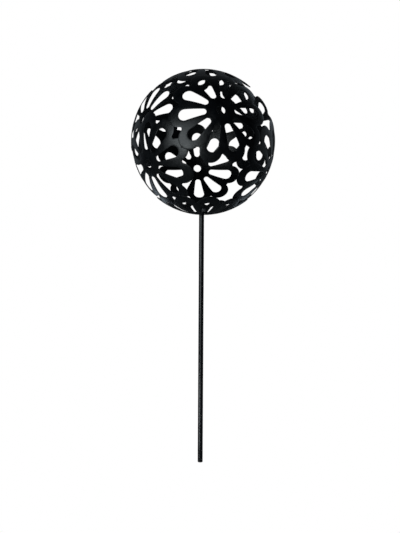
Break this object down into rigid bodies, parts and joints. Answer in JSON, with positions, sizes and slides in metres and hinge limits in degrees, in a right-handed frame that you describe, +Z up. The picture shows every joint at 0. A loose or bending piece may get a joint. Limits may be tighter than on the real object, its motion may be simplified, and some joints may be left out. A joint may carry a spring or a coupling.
{
  "type": "garden stake with openwork globe",
  "caption": "Openwork black metal globe of lapped daisy panels, screwed onto the threaded head of a slim round ground stake.",
  "frame": {"origin": "centre of the stake's cut foot", "axes": "+Z up along the stake, -Y the front seen first, +X to its right"},
  "size_m": [0.2241, 0.2239, 0.6159],
  "materials": {
    "sheet_coat": "black satin powder coat over pressed steel sheet",
    "weld_coat": "black satin powder coat over weld metal",
    "rod_coat": "black satin powder coat over round steel bar",
    "fitting_steel": "zinc-plated fittings, hidden inside the globe's hub"
  },
  "bodies": {
    "stake": {"stake_rod": "rod_coat"},
    "washer": {"seat_washer": "fitting_steel"},
    "globe": {"daisy_bottom": "sheet_coat", "daisy_upper_front": "sheet_coat", "daisy_upper_right": "sheet_coat", "daisy_upper_left": "sheet_coat", "daisy_top": "sheet_coat", "daisy_lower_front_left": "sheet_coat", "daisy_lower_right": "sheet_coat", "daisy_lower_back": "sheet_coat", "hub_plate": "sheet_coat", "hub_tacks": "weld_coat", "hub_nut": "fitting_steel", "lap_tacks": "weld_coat"}
  },
  "joints": [
    {"name": "globe_turn", "type": "hinge", "parent": "stake", "child": "washer", "pos_m": [0, 0, 0.392], "axis": [0, 0, 1], "range_deg": [0, 2520]},
    {"name": "globe_rise", "type": "slide", "parent": "washer", "child": "globe", "axis": [0, 0, 1], "range_m": [0, 0.00705]}
  ],
  "couplings": [
    {"joint": "globe_rise", "follows": "globe_turn", "m_per_rad": 0.00015915}
  ]
}
